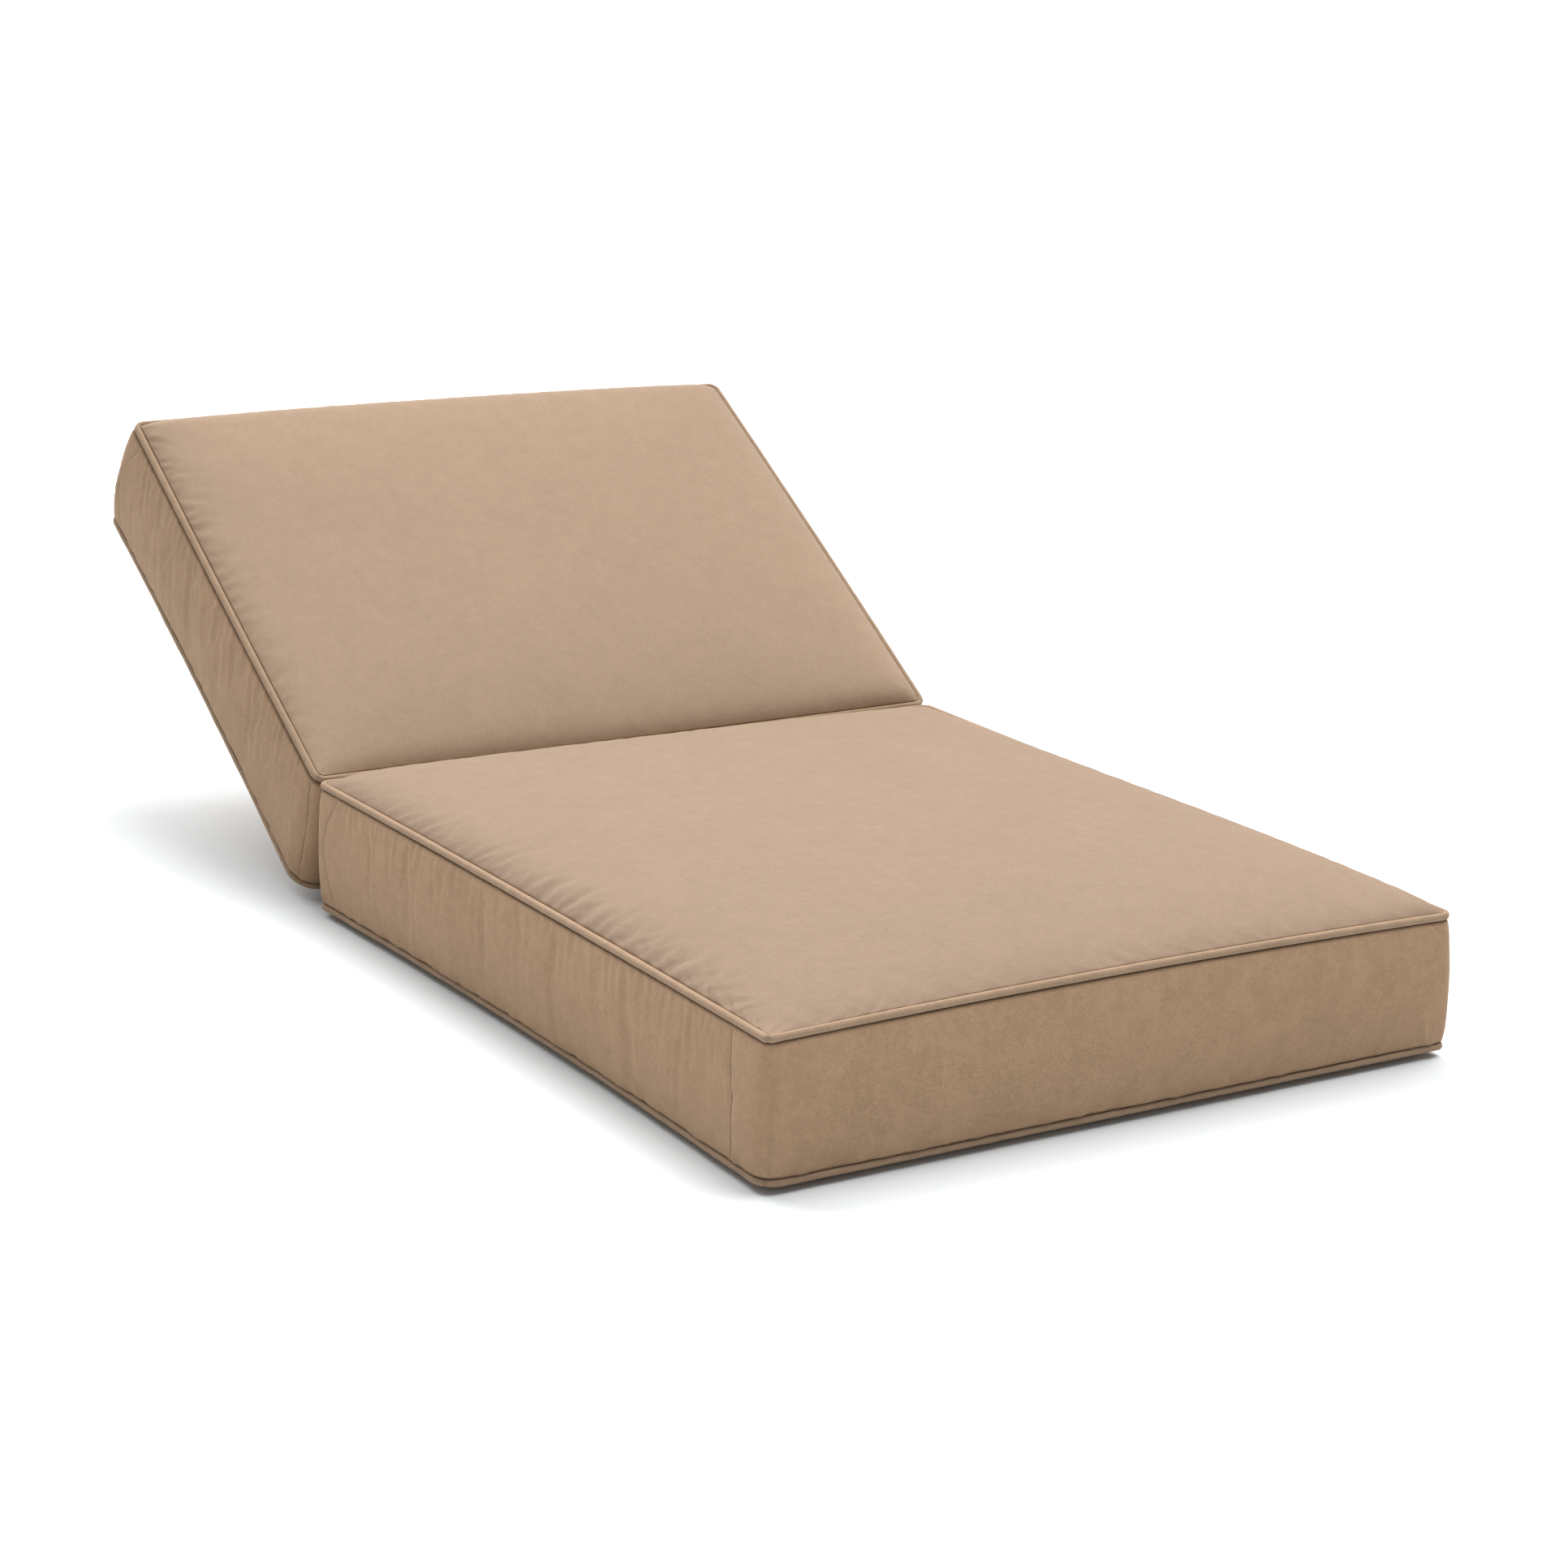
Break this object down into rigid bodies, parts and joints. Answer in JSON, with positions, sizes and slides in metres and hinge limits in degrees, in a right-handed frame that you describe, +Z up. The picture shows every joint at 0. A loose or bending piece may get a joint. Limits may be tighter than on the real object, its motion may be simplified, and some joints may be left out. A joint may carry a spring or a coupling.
{
  "type": "sun lounger cushion",
  "caption": "Deep box-edged sun lounger cushion: a flat seat pad with a reclined back pad behind it, piped along its seams, in plain tan fabric.",
  "frame": {"origin": "on the floor, under the middle of the cushion's bounding box", "axes": "+X across the lounger to the right, seen from the foot end; +Y from the foot end to the head end; +Z up"},
  "size_m": [1.0268, 1.9178, 0.5847],
  "materials": {
    "cushion_fabric": "matte",
    "welt_fabric": "matte"
  },
  "bodies": {
    "root": {"seat_cushion": "cushion_fabric", "seat_welt_top": "welt_fabric", "seat_welt_bottom": "welt_fabric", "back_cushion": "cushion_fabric", "back_welt_front": "welt_fabric", "back_welt_rear": "welt_fabric"}
  },
  "joints": []
}
